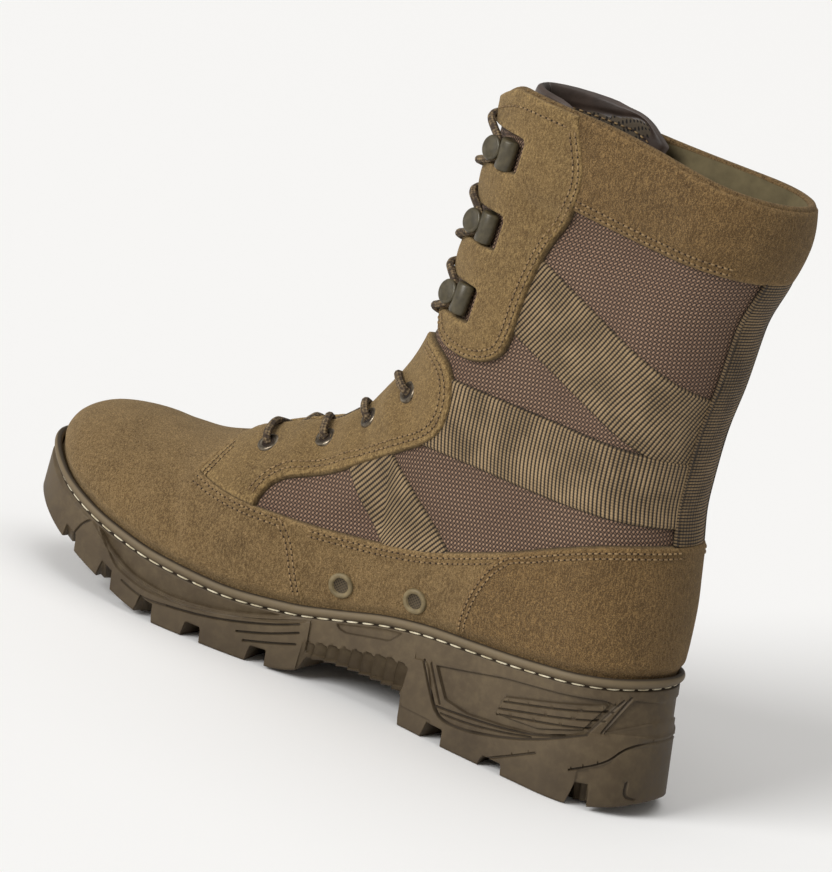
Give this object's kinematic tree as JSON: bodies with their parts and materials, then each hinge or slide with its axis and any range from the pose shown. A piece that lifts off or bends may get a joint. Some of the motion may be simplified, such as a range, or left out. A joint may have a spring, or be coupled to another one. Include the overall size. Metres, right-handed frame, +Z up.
{
  "type": "tactical boot",
  "caption": "Ankle-high lace-up tactical boot with suede overlays, woven nylon panels, webbing straps, speed hooks, drain vents and a lugged cup sole.",
  "frame": {"origin": "middle of the sole's outline in plan, on the ground", "axes": "+X towards the toe, +Y towards the medial side, +Z up"},
  "size_m": [0.3172, 0.1062, 0.2737],
  "materials": {
    "rubber": "matte moulded rubber",
    "suede": "rough suede nap",
    "nylon": "coarse woven nylon",
    "webbing": "ribbed webbing",
    "leather": "smooth dark leather",
    "metal": "worn olive coating",
    "lace": "round woven cord",
    "sock": "felted sock lining"
  },
  "bodies": {
    "root": {"outsole": "rubber", "insole": "sock", "upper": "nylon", "tongue": "leather", "vamp": "suede", "heel_counter": "suede", "collar_band": "suede", "back_strap": "webbing", "quarter_medial": "suede", "quarter_lateral": "suede", "eyestay_lower_medial": "suede", "eyestay_lower_lateral": "suede", "eyestay_upper_medial": "suede", "eyestay_upper_lateral": "suede", "strap_low_medial": "webbing", "strap_low_lateral": "webbing", "strap_middle_medial": "webbing", "strap_middle_lateral": "webbing", "strap_upper_medial": "webbing", "strap_upper_lateral": "webbing", "eyelet_medial_1": "metal", "eyelet_medial_2": "metal", "eyelet_medial_3": "metal", "eyelet_medial_4": "metal", "eyelet_lateral_1": "metal", "eyelet_lateral_2": "metal", "eyelet_lateral_3": "metal", "eyelet_lateral_4": "metal", "hook_medial_1": "metal", "hook_medial_2": "metal", "hook_medial_3": "metal", "hook_lateral_1": "metal", "hook_lateral_2": "metal", "hook_lateral_3": "metal", "vent_1": "metal", "vent_2": "metal", "laces": "lace"}
  },
  "joints": []
}
